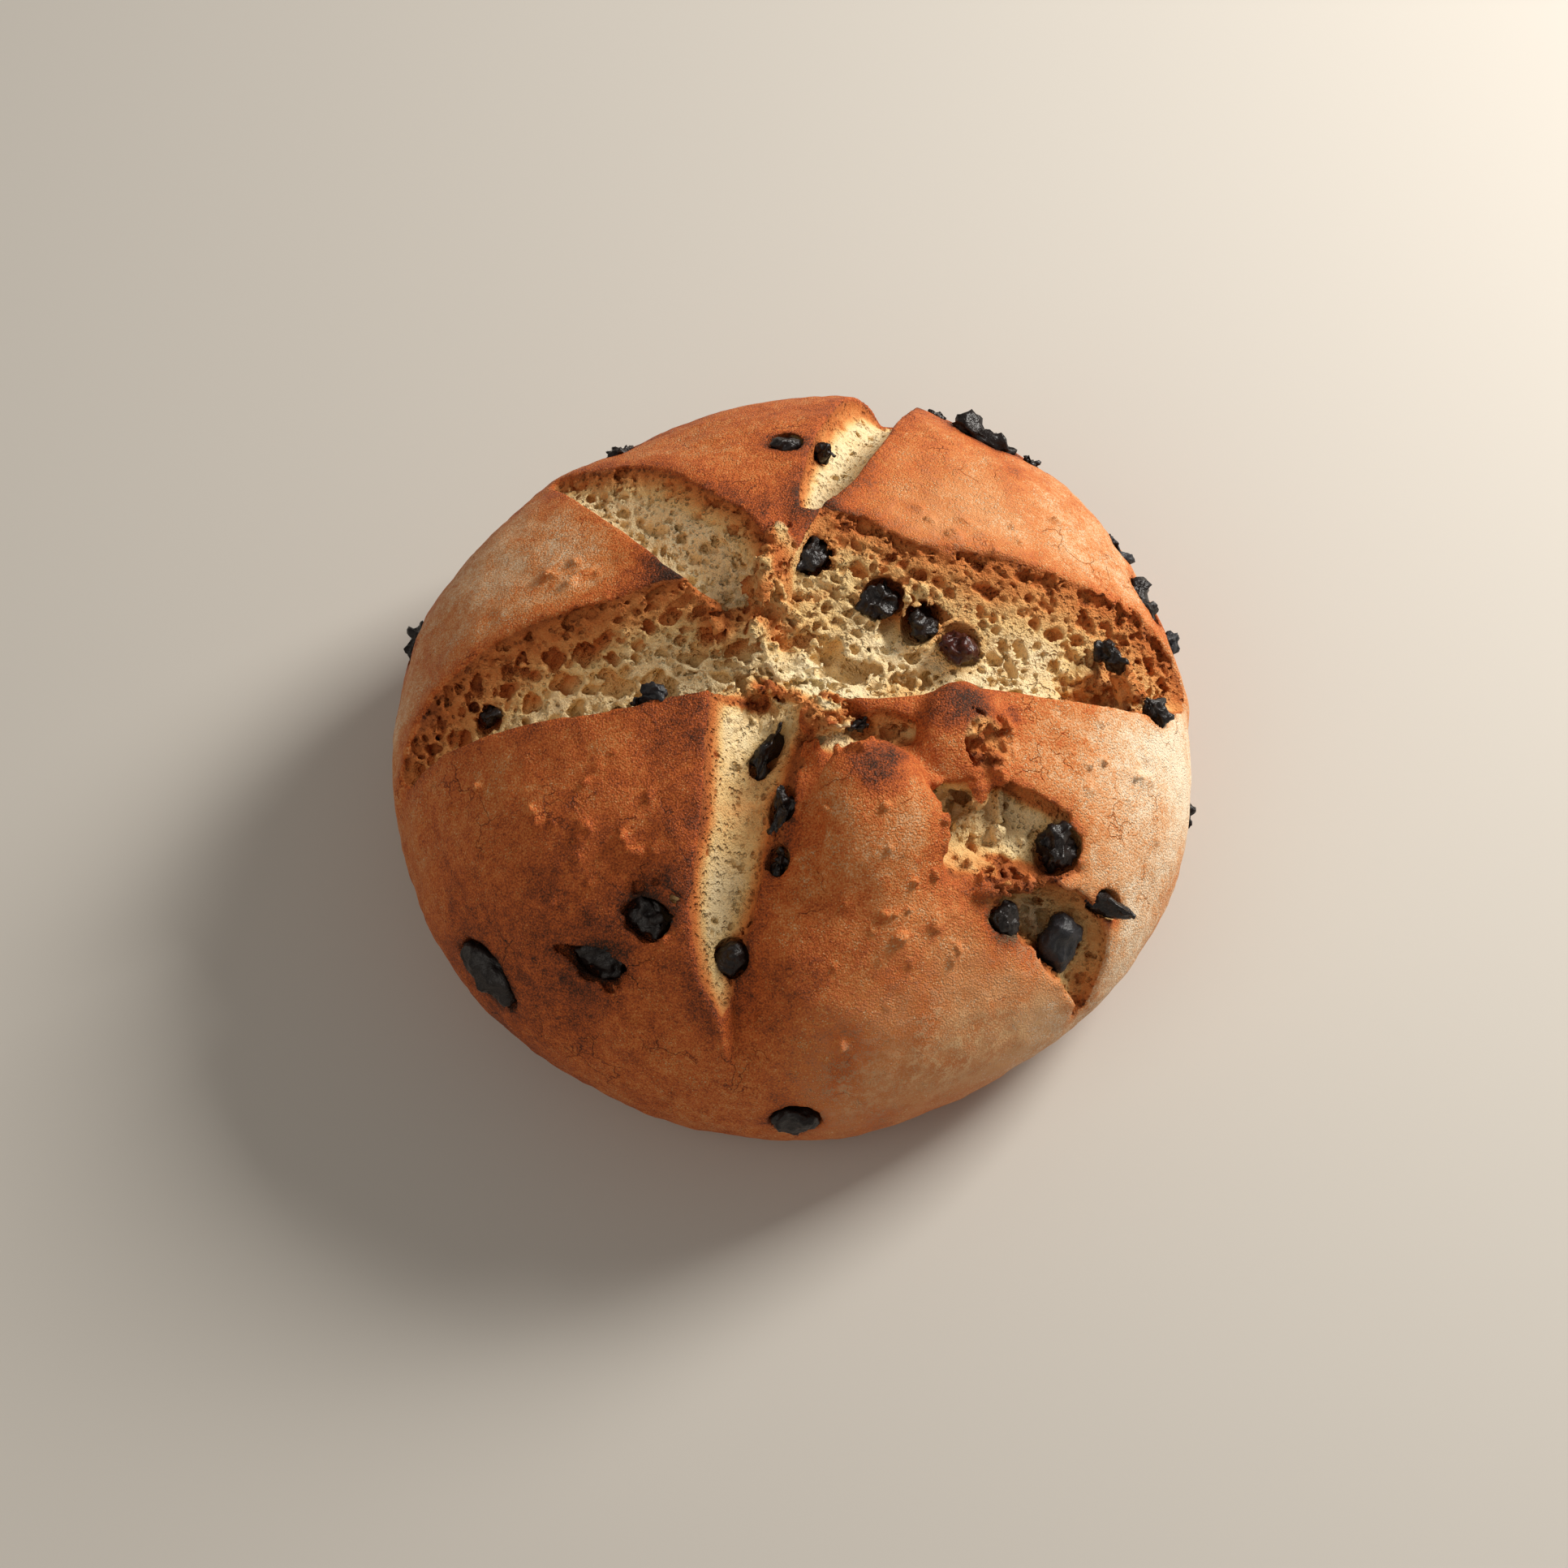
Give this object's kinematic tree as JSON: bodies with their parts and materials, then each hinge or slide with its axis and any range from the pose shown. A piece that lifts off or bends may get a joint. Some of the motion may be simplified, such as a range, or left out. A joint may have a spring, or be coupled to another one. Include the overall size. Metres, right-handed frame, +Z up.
{
  "type": "round raisin loaf",
  "caption": "Round crusty raisin loaf with a star of deep scored cuts that show its open crumb, dark raisins standing in crust and crumb, and a flat base to rest on",
  "frame": {"origin": "middle of the loaf's bounding box, on the plane its base stands on", "axes": "+Z up through the star of cuts, -Y towards the side the picture looks from, +X to the picture's right"},
  "size_m": [0.1818, 0.1846, 0.0896],
  "materials": {
    "crust": "matte baked crust, orange-brown with pale cream crumb in the cuts",
    "raisin": "baked raisin, near black, wrinkled and slightly glossy"
  },
  "bodies": {
    "root": {"loaf": "crust", "raisin_01": "raisin", "raisin_02": "raisin", "raisin_03": "raisin", "raisin_04": "raisin", "raisin_05": "raisin", "raisin_06": "raisin", "raisin_07": "raisin", "raisin_08": "raisin", "raisin_09": "raisin", "raisin_10": "raisin", "raisin_11": "raisin", "raisin_12": "raisin", "raisin_13": "raisin", "raisin_14": "raisin", "raisin_15": "raisin", "raisin_16": "raisin", "raisin_17": "raisin", "raisin_18": "raisin", "raisin_19": "raisin", "raisin_20": "raisin", "raisin_21": "raisin", "raisin_22": "raisin", "raisin_23": "raisin", "raisin_24": "raisin", "raisin_25": "raisin", "raisin_26": "raisin", "raisin_27": "raisin", "raisin_28": "raisin", "raisin_29": "raisin", "raisin_30": "raisin", "raisin_31": "raisin", "raisin_32": "raisin", "raisin_33": "raisin", "raisin_34": "raisin", "raisin_35": "raisin"}
  },
  "joints": []
}
